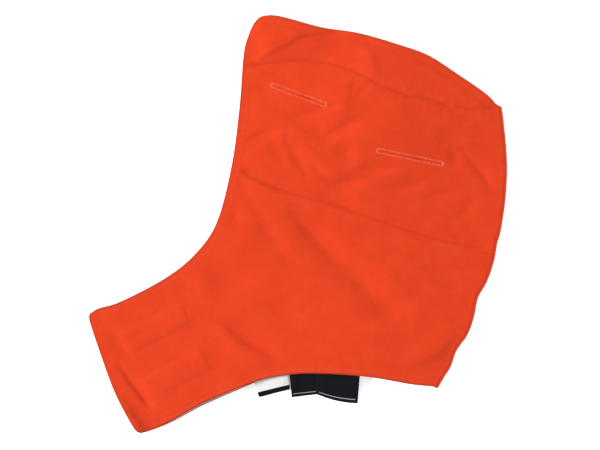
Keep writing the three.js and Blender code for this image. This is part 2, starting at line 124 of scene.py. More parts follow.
# A fold in the upper side: height (minus for a hollow), width to the left and right of
# its way, sharpness (2 is round, 1 is a crease), the way's points, the growth of its width
# along the way, and the share of the way over which each end dies out.
Fold = namedtuple("Fold", "height left right sharp points spread fade", defaults=(1, 0.5))
FOLDS = {
    "packing_crease": Fold(-2, 3.6, 2.4, 1.3, [(-55, 49.5), (-37, 41.5), (-17, 33), (1.5, 27.5),
        (26, 21.5), (50.5, 13), (75, 4.5), (99.5, -4.5), (124, -11.5), (151.5, -18),
        (185.5, -21.5)], fade=0.06),
    "crease_lip": Fold(1.4, 4, 10, 2, [(-52.5, 41.5), (-17, 26), (26, 14), (75, -3), (124, -18.5),
        (179, -27.5)], fade=0.12),
    "crown_tuck": Fold(2.05, 32, 2.8, 1.5, [(-39, 147), (-30.5, 156), (-18, 163.5), (-4, 169),
        (11, 173), (24.5, 175), (35, 175.5)], fade=0.25),
    "tuck_slope": Fold(2.05, 30, 22, 1.9, [(-38.5, 146.5), (-26, 157.5), (-14, 164.5), (1.5, 170),
        (20, 173.5), (44.5, 175)], fade=0.3),
    "brow_swell": Fold(0.45, 14, 12, 2, [(-32.5, 168.5), (-14, 175), (10.5, 179.5)]),
    "crown_notch": Fold(1.5, 4.5, 10, 1.5, [(55, 170), (64, 155), (69.5, 142.5), (72, 129)], fade=0.45),
    "crown_slope": Fold(4.6, 75, 62, 1.6, [(59.5, 193), (69, 171.5), (78, 147), (86.5, 125.5),
        (93.5, 104), (98, 83), (101, 61.5), (102.5, 40)], fade=0.35),
    "crown_fall": Fold(1.5, 62, 46, 2, [(55, 190), (64, 165.5), (75, 141), (85.5, 113.5)]),
    "slot_wrinkle_a": Fold(-0.9, 4, 5, 2, [(-40, 133.5), (-20, 134.5), (3, 127)]),
    "slot_wrinkle_b": Fold(-0.7, 4, 5, 2, [(-46, 121), (-32.5, 123), (-14, 119.5)]),
    "notch_wrinkle_a": Fold(-1.05, 4, 3.5, 1.6, [(58, 139.5), (51, 127), (49.5, 116.5), (53, 106)]),
    "notch_wrinkle_b": Fold(-1.15, 4.5, 4, 1.6, [(75, 130.5), (62.5, 125), (56.5, 118), (53.5, 108)]),
    "slot_ridge": Fold(0.9, 6, 14, 1.8, [(47.5, 124), (39.5, 107.5), (27.5, 92)]),
    "brow_crease_a": Fold(-1.5, 3.2, 6, 1.5, [(-55.5, 70.5), (-38.5, 79.5), (-24.5, 83),
        (-14, 85)], fade=0.45),
    "brow_crease_b": Fold(-1.7, 3.4, 7, 1.5, [(-19.5, 91), (-5, 96.5), (10.5, 101), (29, 106.5),
        (39.5, 115)], fade=0.45),
    "temple_fold": Fold(-1.7, 6, 4.4, 1.6, [(-7, 96.5), (-11, 78), (-5, 66), (1.5, 55), (6.5, 45.5),
        (4.5, 33.5)], fade=0.45),
    "temple_soft": Fold(-1.15, 7, 6, 2, [(-27, 79.5), (-18.5, 66), (-10.5, 49)]),
    "temple_hook": Fold(-2.2, 6, 5, 1.7, [(-5, 87.5), (9, 85), (18, 82.5), (25.5, 79.5), (32.5, 82),
        (43.5, 87.5), (56, 95), (64, 101)], fade=0.3),
    "temple_ridge": Fold(1.4, 5, 5, 1.7, [(1.5, 78), (10.5, 64.5), (21.5, 54.5), (33.5, 47.5),
        (50.5, 44.5), (75, 46)], fade=0.45),
    "temple_dark": Fold(-0.9, 5, 4, 1.6, [(3, 67.5), (12, 56.5), (21.5, 46.5), (32, 38.5)]),
    "temple_hollow": Fold(-1.5, 9, 8, 2, [(32, 76.5), (43, 65), (51, 52)]),
    "temple_curve": Fold(-2.2, 5, 7, 1.6, [(16, 44.5), (31, 37), (43.5, 37), (58.5, 41),
        (75, 45.5)], fade=0.45),
    "under_slot_a": Fold(-2.2, 4.5, 3.5, 1.6, [(47.5, 48), (71.5, 50.5), (96.5, 50)]),
    "under_slot_ridge": Fold(0.7, 4, 4, 2, [(78, 44.5), (93.5, 45.5), (108.5, 43)]),
    "under_slot_b": Fold(-1.85, 4.5, 5.5, 1.6, [(59.5, 34.5), (81, 30.5), (98, 32), (112.5, 37.5),
        (125.5, 45.5)], fade=0.45),
    "under_slot_c": Fold(-1.7, 4, 6, 1.7, [(104, 21.5), (123, 24), (137.5, 26),
        (154.5, 27.5)], fade=0.45),
    "under_slot_d": Fold(-1.05, 5, 5, 1.6, [(135, 2), (148.5, 6.5), (158, 15.5), (161, 23)]),
    "lower_ridge": Fold(1.6, 8, 8, 2, [(41, 35), (55, 20), (78, 10), (112, 2.5)]),
    "side_ridge": Fold(0.8, 24, 9, 2, [(70.5, 99.5), (58, 76.5), (49, 55)]),
    "side_dent": Fold(-1.4, 5, 5, 1.6, [(121, 76.5), (138, 78), (154.5, 73)]),
    "back_fold": Fold(-1.85, 5.5, 4.2, 1.5, [(147, 70.5), (158.5, 58), (168, 47), (174.5, 38),
        (180, 24.5)], fade=0.45),
    "back_fold_small": Fold(-1.15, 5, 4, 1.7, [(138, 73.5), (143, 60), (147.5, 46)]),
    "cheek_fold": Fold(-1.95, 6, 6, 1.8, [(-55.5, 43), (-37, 9), (-26, -9), (-14, -27),
        (9, -57)], spread=1.6),
    "cheek_mark": Fold(-1.5, 4, 4, 1.5, [(-74, 17), (-61.5, 9), (-53, 5), (-34, 4.5)]),
    "long_drape": Fold(-3.7, 9.5, 7.5, 1.8, [(-12, 19), (7, -3), (25.5, -22.5), (38, -36),
        (56, -52), (70.5, -68), (80, -83), (86.5, -96.5)], spread=1.7, fade=0.2),
    "drape_ridge": Fold(0.7, 6.5, 10, 2, [(1.5, 11.5), (17.5, 1), (36, -15.5), (55, -29),
        (73, -41.5), (91, -54.5), (109.5, -67), (128, -78)], spread=1.4, fade=0.3),
    "drape_wedge": Fold(-2.05, 10, 14, 2, [(78, -67.5), (90.5, -78), (101, -86), (115, -92)], fade=0.45),
    "drape_line": Fold(-1.05, 5, 4.5, 1.6, [(89, -47.5), (105.5, -60), (124, -69)]),
    "drape_soft": Fold(-1.4, 7, 7, 2, [(44.5, 0), (72, -8), (99.5, -17)]),
    "throat_fold": Fold(-1.7, 7, 8, 1.8, [(-93.5, -38.5), (-75.5, -45.5), (-54, -51.5), (-29.5, -61)]),
    "flap_root": Fold(0.8, 12, 13, 1.8, [(-90.5, -37), (-83.5, -55), (-81, -67.5), (-80, -76.5)]),
    "hem_fold": Fold(2.55, 7, 13, 1.6, [(-74, -92.5), (-64, -103.5), (-54, -111.5), (-42.5, -118),
        (-30, -124.5), (-14, -130.5)], fade=0.42),
    "hem_hollow": Fold(-2.9, 10, 6, 1.7, [(-74, -86.5), (-61, -97), (-47, -107.5), (-30, -117.5),
        (-10.5, -129)], fade=0.42),
    "root_hollow": Fold(-0.9, 20, 9, 2, [(-90.5, -30.5), (-75.5, -58.5), (-63, -86)]),
    "flap_crease": Fold(-2, 9, 2.1, 1.3, [(-169.5, -123.5), (-154.5, -145), (-143.5, -160),
        (-133.5, -173.5)], fade=0.3),
    "flap_crease_soft": Fold(-1.05, 5, 5, 1.8, [(-174, -103), (-162.5, -116), (-149.5, -130)], fade=0.45),
    "flap_corner": Fold(7.6, 6.5, 6.5, 1.7, [(-175.5, -144), (-168.5, -159.5), (-162.5, -173.5),
        (-157, -185.5), (-147.5, -196.5), (-137, -208.5), (-124.5, -224)], spread=2.1),
    "nape_fold": Fold(2.3, 13, 7, 1.8, [(89, -135), (107, -126), (123.5, -116.5), (140.5, -107.5),
        (150, -101)], fade=0.45),
    "nape_soft": Fold(-1.25, 7, 8, 2, [(103.5, -82.5), (116.5, -88), (135, -96)]),
    "back_wrinkle_a": Fold(-1.05, 3.5, 5, 1.7, [(107, -42.5), (135, -43.5), (164, -42.5)], fade=0.45),
    "back_wrinkle_b": Fold(-1.05, 4, 6, 1.8, [(121, -51), (136.5, -57), (154.5, -62.5)]),
    "belly_soft": Fold(-1.15, 8, 8, 2, [(-38.5, -66), (-14, -81.5), (7.5, -92)]),
    "tuck_end": Fold(-2.55, 2.6, 1.8, 1.2, [(-8, 166.5), (7.5, 171), (24.5, 173.5), (38, 174),
        (49, 173.5)], fade=0.3),
}

# Strap slots: their ends in plan, the half widths at even steps along a slit, the heights
# between which it is cut, and how far the lower side's slits lie from the upper ones.
SLOTS = [((-24, 127), (24.5, 108.5)), ((73, 66.5), (132, 54.5))]
SLIT_HALF_WIDTHS = [0.015, 0.015, 0.02, 0.03, 0.13, 0.12, 0.02, 0.015]
SLIT_REACH = (-5, 45)
LOWER_SLIT_SHIFT = (1.6, -2.2)

# Closure tapes: their middles in plan, and the ways along and across them.
TAPE_LONG = 63.5
TAPE_WIDE = 20.5
TAPE_TURN = 0.465
TAPE_ALONG = (math.cos(TAPE_TURN), math.sin(TAPE_TURN))
TAPE_ACROSS = (-math.sin(TAPE_TURN), math.cos(TAPE_TURN))
TAPE_AXES = np.array([TAPE_ALONG, TAPE_ACROSS])
TAPES = {"upper": (-132, -96.5), "lower": (-113, -139)}

# Labels: sewn end left, right, free end left, right; the rise of the left side over the label
# beside it, the bow of the free end, and the cut size in metres.
Label = namedtuple("Label", "ends lap bow flat")
LABELS = {
    "white": Label([(-43, -139), (-9.4, -132.5), (-36.5, -160.5), (-7.8, -153)], 0, 0, (0.033, 0.024)),
    "short": Label([(-9.2, -132), (17.8, -131.5), (-6.3, -160.5), (17.7, -157.6)], 1, 0, (0.0265, 0.029)),
    "long": Label([(16.4, -131.5), (57, -132.5), (16.5, -157.4), (54.5, -166)], 1, 2.2, (0.0405, 0.032)),
}


def smooth(value, low, high):
    """A soft step from 0 at low to 1 at high."""
    t = np.clip((np.asarray(value, float) - low) / (high - low), 0, 1)
    return t * t * (3 - 2 * t)


def lerp(a, b, t):
    return a + (b - a) * t


def bell(value, wide):
    """A round bump: 1 at 0, falling off over a width."""
    return np.exp(-((value / wide) ** 2))


def unit(v):
    return v / np.linalg.norm(v, axis=-1, keepdims=True)


class Path:
    """A smooth way through points, read by its share of the length."""

    STEPS = 12
    REACH = 0.004

    def __init__(self, rows):
        p = np.asarray(rows, float)
        p = np.vstack([p[:1], p, p[-1:]])
        t = np.linspace(0, 1, self.STEPS, endpoint=False)[:, None]
        parts = []
        for a, b, c, d in zip(p, p[1:], p[2:], p[3:]):
            v0 = (c - a) / 2
            v1 = (d - b) / 2
            cubic = (2 * b - 2 * c + v0 + v1) * t**3
            square = (-3 * b + 3 * c - 2 * v0 - v1) * t**2
            parts.append(cubic + square + v0 * t + b)
        self.points = np.vstack([*parts, p[-1:]])
        step = np.linalg.norm(np.diff(self.points, axis=0), axis=1)
        self.length = step.sum()
        self.share = np.concatenate([[0], np.cumsum(step)]) / self.length

    def at(self, t):
        x, y = self.points.T
        return np.stack([np.interp(t, self.share, x), np.interp(t, self.share, y)], -1)

    def out(self, t, reach=REACH):
        """The way out to the left of the path, as it runs over a reach to both sides."""
        t = np.asarray(t, float)
        d = unit(self.at(np.minimum(t + reach, 1)) - self.at(np.maximum(t - reach, 0)))
        return np.stack([-d[..., 1], d[..., 0]], -1)


# The fold over the crown and down the back: its middle line and the way out from it.
back_line = Path(BACK)
crown_line = Path(CROWN_LINE)


def back_middle(t, inset=0.0):
    return back_line.at(t) - back_line.out(t) * (FOLD_R + inset)


def crown_out(t):
    t = np.asarray(t, float)
    front = (1 - smooth(t, 0, FRONT_TURN))[..., None]
    end = smooth(t, CROWN_TURN, 1)[..., None]
    out = lerp(crown_line.out(t), np.array(FRONT_OUT), front)
    return unit(lerp(out, back_line.out(0.0), end))


def crown_middle(t, inset=0.0):
    return crown_line.at(t) - crown_out(t) * (FOLD_R + inset)


CROWN_SHARE = crown_line.length / (crown_line.length + back_line.length)


def joined(first, second, share):
    """Two ways one after the other, the first over a share of the whole."""

    def way(t, *rest):
        t = np.asarray(t, float)
        before = first(np.clip(t / share, 0, 1), *rest)
        after = second(np.clip((t - share) / (1 - share), 0, 1), *rest)
        return np.where((t < share)[..., None], before, after)

    return way


fold_middle = joined(crown_middle, back_middle, CROWN_SHARE)
fold_out = joined(crown_out, back_line.out, CROWN_SHARE)
face_edge = Path(FACE_EDGE)
front_edge = Path(FRONT_EDGE + [tuple(crown_middle(0.0))])
hem_edge = Path(FLAP_END + HEM + [tuple(back_middle(1.0))])
seam_edge = Path(SEAM + [tuple(back_middle(0.0))])

# The same lines as points; the short front edge needs fewer.
PATH_STEPS = 100
FRONT_SKIP = 10
SHARES = np.linspace(0, 1, PATH_STEPS + 1)
fold_path = fold_middle(SHARES)
open_path = np.vstack(
    [front_edge.at(SHARES[::-FRONT_SKIP]), face_edge.at(SHARES), hem_edge.at(SHARES)]
)
seam_path = seam_edge.at(SHARES)

TINY = 1e-9


def nearest(path, spots):
    """Each spot's distance to a path, its share of the way along, and its side."""
    far = np.full(len(spots), np.inf)
    along = np.zeros(len(spots))
    side = np.zeros(len(spots))
    for k, (a, b) in enumerate(zip(path, path[1:])):
        d = b - a
        v = spots - a
        t = np.clip(v @ d / max(d @ d, TINY), 0, 1)
        gap = np.hypot(v[:, 0] - t * d[0], v[:, 1] - t * d[1])
        closer = gap < far
        far[closer] = gap[closer]
        along[closer] = (k + t[closer]) / (len(path) - 1)
        side[closer] = (d[0] * v[:, 1] - d[1] * v[:, 0])[closer]
    return far, along, side


# How far a fold is felt, in its widths, with a longer tail for a crease; the step through its
# way's points, the share of its width left at its tips, and the rounding of its middle.
FOLD_REACH = 3.2
FOLD_TAIL = 3
FOLD_SKIP = 2
FOLD_TIP = 0.45
CREASE_SOFT = 0.8


def folds_at(spots):
    """The summed heights of the folds, no deeper than DEEPEST_FOLD."""
    total = np.zeros(len(spots))
    for row in FOLDS.values():
        path = Path(row.points).points[::FOLD_SKIP]
        reach = FOLD_REACH * max(row.left, row.right) * row.spread * (FOLD_TAIL - row.sharp)
        low = path.min(0) - reach
        high = path.max(0) + reach
        near = np.all((spots > low) & (spots < high), axis=1)
        far, along, side = nearest(path, spots[near])
        share = smooth(along, 0, row.fade) * smooth(1 - along, 0, row.fade)
        wide = np.where(side > 0, row.left, row.right)
        wide = wide * lerp(1, row.spread, along) * lerp(FOLD_TIP, 1, share)
        away = (np.hypot(far, CREASE_SOFT) - CREASE_SOFT) / wide
        total[near] += row.height * share * np.exp(-(away**row.sharp))
    return np.maximum(total, -DEEPEST_FOLD)


RIPPLE_SEED = 7
RIPPLE_COUNT = 26
RIPPLE_WAVES = (16, 60)
RIPPLE_HEIGHT = 0.05


def ripples(spots):
    """Low uneven waves that no fold accounts for."""
    rng = np.random.default_rng(RIPPLE_SEED)
    total = np.zeros(len(spots))
    for _ in range(RIPPLE_COUNT):
        wave = rng.uniform(*RIPPLE_WAVES)
        turn = rng.uniform(0, 2 * math.pi)
        start = rng.uniform(0, 2 * math.pi)
        across = spots[:, 0] * math.cos(turn) + spots[:, 1] * math.sin(turn)
        total += np.cos(across * 2 * math.pi / wave + start) * wave / RIPPLE_WAVES[1]
    return RIPPLE_HEIGHT * total


def uneven(along, waves):
    """A wavering value about zero along a seam, from waves of several lengths."""
    total = 0
    for k, wave in enumerate(waves):
        total = total + np.sin(along * 2 * math.pi / wave + k)
    return total / len(waves)


HEM_END = (6.5, 9)
HEM_RISE = 0.14
STITCH_IN = 4.6
STITCH_SINK = 0.16
STITCH_SOFT = 1.3
HEM_PUCKER = 0.22
HEM_PUCKER_REACH = 8
PUCKER_WAVES = (7.3, 11.9, 19.0)


def hem_relief(far, along):
    """The turned edge: a thicker band, sunk and puckered along its stitching."""
    band = HEM_RISE * (1 - smooth(far, *HEM_END))
    sunk = STITCH_SINK * bell(far - STITCH_IN, STITCH_SOFT)
    pucker = HEM_PUCKER * uneven(along, PUCKER_WAVES) * bell(far, HEM_PUCKER_REACH)
    return band - sunk + pucker


SEAM_DIP = 0.8
SEAM_SOFT = 3.2
SEAM_WAVER = 0.4
SEAM_DEPTHS = (0.7, 1.3)
SEAM_PUCKER = 0.5
SEAM_PUCKER_REACH = 7
SEAM_TIGHT = 0.35
SEAM_LOOSE = (0.35, 0.7)


def seam_relief(spots):
    """The groove along the crown seam, and its puckers, stronger towards the back."""
    far, along, _ = nearest(seam_path, spots)
    waver = uneven(along * seam_edge.length, PUCKER_WAVES)
    loose = lerp(SEAM_TIGHT, 1, smooth(along, *SEAM_LOOSE))
    deep = SEAM_DIP * lerp(*SEAM_DEPTHS, loose) * (1 + SEAM_WAVER * waver)
    pucker = SEAM_PUCKER * loose * waver * bell(far, SEAM_PUCKER_REACH)
    return pucker - deep * bell(far, SEAM_SOFT)


TAPE_SHOW = 0.66
TAPE_SHOW_END = (-1.5, 1.8)
TAPE_STITCH_IN = 0.9
TAPE_STITCH_SOFT = 1.5
TAPE_STITCH_SINK = 0.27


def tape_relief(spots):
    """The closure tape showing through the flap, sunk along its stitching."""
    total = np.zeros(len(spots))
    for middle in TAPES.values():
        in_tape = np.abs((spots - np.array(middle)) @ TAPE_AXES.T)
        past = (in_tape - np.array([TAPE_LONG, TAPE_WIDE]) / 2).max(-1)
        total += TAPE_SHOW * (1 - smooth(past, *TAPE_SHOW_END))
        total -= TAPE_STITCH_SINK * bell(past + TAPE_STITCH_IN, TAPE_STITCH_SOFT)
    return total


SLOT_BORDER = 0.16
SLOT_BORDER_AT = 2.0
SLOT_BORDER_SOFT = 1.8


def slot_relief(spots):
    """The cloth drawn up under the satin stitches beside each strap slot."""
    total = np.zeros(len(spots))
    for ends in SLOTS:
        far = nearest(np.array(ends, float), spots)[0]
        total += SLOT_BORDER * bell(far - SLOT_BORDER_AT, SLOT_BORDER_SOFT)
    return total


def hood_share(spots, run):
    """0 on the flaps, 1 in the hood from a run past their root."""
    along = (spots - np.array(ROOT)) @ np.array(ROOT_WAY)
    return smooth(along, 0, run)


def fullness(spots, to_fold):
    """The height of the upper side before its folds, growing from the fold inwards."""
    loft = np.full(len(spots), float(FLAP_LIFT))
    for mx, my, wx, wy, high in LOFT:
        loft += high * bell(spots[:, 0] - mx, wx) * bell(spots[:, 1] - my, wy)
    rise = 1 - (1 - np.clip(to_fold / LOFT_RISE, 0, 1)) ** 2
    return 2 * FOLD_R + rise * loft


FOLD_FREE = 9
FOLD_HOLD = 0.6
EDGE_FREE = 5
EDGE_HOLD = 0.75


def upper_top(spots):
    """The height of the upper side's outer face."""
    to_fold = nearest(fold_path, spots)[0]
    to_edge, along, _ = nearest(open_path, spots)
    free = lerp(FOLD_HOLD, 1, smooth(to_fold, 0, FOLD_FREE))
    held = free * lerp(EDGE_HOLD, 1, smooth(to_edge, 0, EDGE_FREE))
    length = along * (front_edge.length + face_edge.length + hem_edge.length)
    relief = hem_relief(to_edge, length) + tape_relief(spots) + slot_relief(spots)
    moved = held * (folds_at(spots) + ripples(spots))
    return fullness(spots, to_fold) + moved + free * (relief + seam_relief(spots))


LINING_CLEAR = 0.35
SEWN_RUN = 14


def lining_top(spots):
    """The height of the upper lining's top face: close under the shell along the open
    edges, where they are sewn together, and hanging free of it inside."""
    to_fold = nearest(fold_path, spots)[0]
    to_edge = nearest(open_path, spots)[0]
    loose = smooth(to_fold, 0, SAG_FOLD_RISE) * smooth(to_edge, 0, SAG_EDGE_RISE)
    sag = SAG * loose * hood_share(spots, UPPER_RUN)
    hung = fullness(spots, to_fold) - LINING_DEPTH - sag
    under = upper_top(spots) - SHELL - LINING_CLEAR
    sewn = 1 - smooth(to_edge, 0, SEWN_RUN)
    return np.minimum(lerp(hung, under, sewn), under)


def lower_base(spots):
    """The height of the lower side's underside: on the tape at the flap, else on the floor."""
    return (TAPE + GAP) * (1 - hood_share(spots, LOWER_RUN))


def sliver(spots, share):
    """How far the lower side shows past the upper one at the flap's lower edge."""
    near = bell(spots[..., 0] - SLIVER_X, SLIVER_WIDE)
    return -SLIVER_PAST * near * smooth(share, SLIVER_FROM, 1)


def coons(top, bottom, left, right):
    """A surface between four edges; u runs along the columns and v down the rows."""

    def plan(u, v):
        across = u[None, :, None]
        down = v[:, None, None]
        rows = lerp(top(u)[None], bottom(u)[None], down)
        columns = lerp(left(v)[:, None], right(v)[:, None], across)
        above = lerp(top(0.0), top(1.0), across)
        below = lerp(bottom(0.0), bottom(1.0), across)
        return rows + columns - lerp(above, below, down)

    return plan


def over(function, plan):
    """A function of spots, read over a whole grid."""
    return function(plan.reshape(-1, 2)).reshape(plan.shape[:-1])


def distance(path, plan):
    """The distance to a path over a whole grid."""
    return over(lambda spots: nearest(path, spots)[0], plan)


def place(plan, z):
    """Points over the plan at heights z."""
    return np.concatenate([plan, z[..., None]], -1)


def on_roll(middle, out, depth, angle, lift):
    """Points on the rolled fold: a depth under its outer face, an angle above its middle.

    The lift is how far the creased cloth stands over the roll's top; it dies out downwards.
    """
    r = FOLD_R - depth
    z = FOLD_R + r * np.sin(angle) + lift * smooth(np.sin(angle), 0, 1)
    return place(middle + out * (r * np.cos(angle))[..., None], z)


def rounding(far, radius):
    """How full a sheet is near its edge: 0 on the edge, 1 from the radius inwards."""
    t = np.clip(far / radius, 0, 1)
    return np.sqrt(1 - (1 - t) ** 2)


def skins(plan, core, half, full):
    """A sheet's outer and inner face, half its thickness from its core where it is full."""
    return place(plan, core + half * full), place(plan, core - half * full)


def in_metres(points):
    """The pattern's points in metres in the row frame, as plain lists."""
    return ((points + np.array(SHIFT)) * MM).tolist()


def add_object(name, data):
    thing = bpy.data.objects.new(name, data)
    bpy.context.scene.collection.objects.link(thing)
    return thing


def mesh_object(name, points, faces, material, nodes=(), weld=0.0, marks=None):
    """A smooth mesh piece on the one body; marks are named values for each point."""
    mesh = bpy.data.meshes.new(name)
    mesh.from_pydata(in_metres(points), [], faces)
    bm = bmesh.new()
    bm.from_mesh(mesh)
    for mark, values in (marks or {}).items():
        layer = bm.verts.layers.float.new(mark)
        for vert, value in zip(bm.verts, values):
            vert[layer] = value
    if weld:
        bmesh.ops.remove_doubles(bm, verts=bm.verts, dist=weld)
    bmesh.ops.recalc_face_normals(bm, faces=bm.faces)
    for face in bm.faces:
        face.smooth = True
    bm.to_mesh(mesh)
    bm.free()
    mesh.materials.append(material)
    piece = add_object(name, mesh)
    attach(piece, "root")
    if nodes:
        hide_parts(*nodes)
    return piece


WELD = 2e-6


def quads(a, b, c, d):
    return np.stack([a, b, c, d], -1).reshape(-1, 4)


def sheet_piece(name, outer, inner, material, node, weld=WELD, marks=None):
    """A closed sheet between an outer and an inner grid of points.

    The mark "inner" is 1 on the points of the inner skin that aren't on an edge.
    """
    rows, cols = outer.shape[:2]
    points = np.vstack([outer.reshape(-1, 3), inner.reshape(-1, 3)])
    at = np.arange(rows * cols).reshape(rows, cols)
    low = at + rows * cols
    faces = [
        quads(at[:-1, :-1], at[1:, :-1], at[1:, 1:], at[:-1, 1:]),
        quads(low[:-1, :-1], low[:-1, 1:], low[1:, 1:], low[1:, :-1]),
        quads(at[0, :-1], at[0, 1:], low[0, 1:], low[0, :-1]),
        quads(at[-1, :-1], low[-1, :-1], low[-1, 1:], at[-1, 1:]),
        quads(at[:-1, 0], low[:-1, 0], low[1:, 0], at[1:, 0]),
        quads(at[:-1, -1], at[1:, -1], low[1:, -1], low[:-1, -1]),
    ]
    both = {mark: np.tile(values.ravel(), 2) for mark, values in (marks or {}).items()}
    is_inner = np.zeros((2, rows, cols))
    is_inner[1, 1:-1, 1:-1] = 1
    both["inner"] = is_inner.ravel()
    faces = np.vstack(faces).tolist()
    return mesh_object(name, points, faces, material, [node], weld, both)


def apply_modifier(piece):
    """The piece's mesh as its modifier leaves it, with no modifier kept."""
    graph = bpy.context.evaluated_depsgraph_get()
    mesh = bpy.data.meshes.new_from_object(piece.evaluated_get(graph))
    piece.modifiers.clear()
    piece.data = mesh


INNER_HOLD = 1000


def thin_inner(piece, share):
    """Fewer faces on a sheet's inner skin, down to a share of all faces."""
    marks = piece.data.attributes["inner"].data
    inner = [k for k, mark in enumerate(marks) if mark.value > 0.5]
    group = piece.vertex_groups.new(name="inner")
    group.add(inner, 1, "REPLACE")
    thin = piece.modifiers.new("thin", "DECIMATE")
    thin.vertex_group = group.name
    thin.vertex_group_factor = INNER_HOLD
    thin.ratio = share
    apply_modifier(piece)
    piece.vertex_groups.clear()


# Cells of the pieces' grids: along and down, or along and across.
NEAR_SIDE_CELLS = (270, 230)
FAR_SIDE_CELLS = (90, 70)
CROWN_CELLS = (190, 33)
CROWN_BACK_CELLS = 14
LINING_CELLS = (120, 110)
TAPE_CELLS = (60, 22)
LABEL_CELLS = (40, 36)
ROLL_CELLS = 14

# Shares of the way across a panel for the close rows beside an edge, wider by the crown's seam.
NEAR_EDGE = np.array([0, 0.0006, 0.0018, 0.0036, 0.006, 0.009, 0.0125, 0.0165, 0.021, 0.0265])
CROWN_EDGE_GROW = 4


def crowded(count, both=True):
    """Shares of the way across a panel, closer together at both edges or at the first alone."""
    tail = 1 - NEAR_EDGE[::-1] if both else np.array([1.0])
    middle = np.linspace(NEAR_EDGE[-1], tail[0], count + 1)
    return np.concatenate([NEAR_EDGE[:-1], middle, tail[1:]])


EDGE_ROUND = 1.3
SEAM_ROUND = 0.8
SEAM_FULL = 0.6
EDGE_MARK = 6
# Painted shade: its reach from an open edge, its strength and width round the fold and along the seam.
EDGE_SHADE_REACH = (0.5, 2.4)
ROLL_SHADE = 0.7
ROLL_SHADE_TURN = 0.6
SEAM_SHADE = 0.24
SEAM_SHADE_WIDE = 2.2


def edge_marks(outer, turn):
    """How worn the cloth is near an open edge, and the painted shade that darkens that edge, the seam and
    the fold.

    Turn is a roll's angle above its middle, and large away from the roll.
    """
    far = distance(open_path, outer[..., :2])
    # Painted shade, darkest on the open edge, along the seam and round the fold.
    shade_at_edge = 1 - smooth(far, *EDGE_SHADE_REACH)
    shade_at_seam = SEAM_SHADE * bell(distance(seam_path, outer[..., :2]), SEAM_SHADE_WIDE)
    shade_at_fold = ROLL_SHADE * bell(turn, ROLL_SHADE_TURN)
    painted_shade = np.maximum(np.maximum(shade_at_edge, shade_at_seam), shade_at_fold)
    return {"edge": 1 - smooth(far, 0, EDGE_MARK), "painted_shade": painted_shade}


def panel_fullness(plan):
    """How full a shell panel is: thinned to nothing at its open edges, a little at its seam."""
    at_edge = rounding(distance(open_path, plan), EDGE_ROUND)
    return at_edge * lerp(SEAM_FULL, 1, rounding(distance(seam_path, plan), SEAM_ROUND))


side_plan = coons(seam_edge.at, hem_edge.at, face_edge.at, back_middle)
crown_plan = coons(
    seam_edge.at,
    crown_middle,
    front_edge.at,
    lambda t: np.broadcast_to(back_middle(0.0), np.shape(t) + (2,)),
)


def roll_grid(middle, out, angles, full, lift, depth, thick):
    """Outer and inner grids round the fold, a row for each angle.

    Full is the sheet's fullness on the fold's line, and depth that of its outer face.
    """
    turn = np.repeat(angles[:, None], len(middle), 1)
    grids = []
    for sign in (1, -1):
        level = depth + thick / 2 * (1 - sign * full) + 0 * turn
        grids.append(on_roll(middle[None], out[None], level, turn, lift[None]))
    return grids


def side_panel(is_near):
    """A side panel with its flap, turned round the back fold."""
    along, down = NEAR_SIDE_CELLS if is_near else FAR_SIDE_CELLS
    u = crowded(along, both=False)
    v = crowded(down)
    plan = side_plan(u, v)
    full = panel_fullness(plan)
    if is_near:
        core = over(upper_top, plan) - SHELL / 2
    else:
        core = over(lower_base, plan) + SHELL / 2
        plan = plan + np.stack([np.zeros_like(core), sliver(plan, v[:, None])], -1)
    sign = 1 if is_near else -1
    flat = skins(plan, core, sign * SHELL / 2, full)
    end = NEAR_ROLL_END if is_near else FAR_ROLL_END
    angles = np.linspace(sign * math.pi / 2, end, ROLL_CELLS + 1)[1:]
    lift = core[:, -1] + SHELL / 2 - 2 * FOLD_R
    rolled = roll_grid(back_middle(v), back_line.out(v), angles, full[:, -1], lift, 0, SHELL)
    outer, inner = (
        np.concatenate([face, roll.swapaxes(0, 1)], 1) for face, roll in zip(flat, rolled)
    )
    turn = np.concatenate([np.full(len(u), math.pi / 2), angles])
    marks = edge_marks(outer, turn[None])
    name, node = ("left_panel", "side_left") if is_near else ("right_panel", "side_right")
    return sheet_piece(name, outer, inner, shell_cloth, node, marks=marks)


def crown_panel():
    """The crown panel: from the upper seam to the fold, round it, and back underneath."""
    along, down = CROWN_CELLS
    u = crowded(along, both=False)
    by_seam = NEAR_EDGE * CROWN_EDGE_GROW
    v = np.concatenate([by_seam, np.linspace(by_seam[-1], 1, down + 1)[1:]])
    plan = crown_plan(u, v)
    full = panel_fullness(plan)
    core = over(upper_top, plan) - SHELL / 2
    angles = np.linspace(math.pi / 2, -math.pi / 2, 2 * ROLL_CELLS + 1)[1:]
    lift = core[-1] + SHELL / 2 - 2 * FOLD_R
    back = crown_plan(u, np.linspace(1, 0, CROWN_BACK_CELLS + 1)[1:])
    level = np.full(back.shape[:2], SHELL / 2)
    upper = skins(plan, core, SHELL / 2, full)
    rolled = roll_grid(crown_middle(u), crown_out(u), angles, full[-1], lift, 0, SHELL)
    under = skins(back, level, -SHELL / 2, panel_fullness(back))
    outer, inner = (np.concatenate(grids) for grids in zip(upper, rolled, under))
    flat = math.pi / 2
    turn = np.concatenate([np.full(len(v), flat), angles, np.full(len(back), flat)])
    marks = edge_marks(outer, turn[:, None])
    return sheet_piece("crown_panel", outer, inner, shell_cloth, "crown", marks=marks)


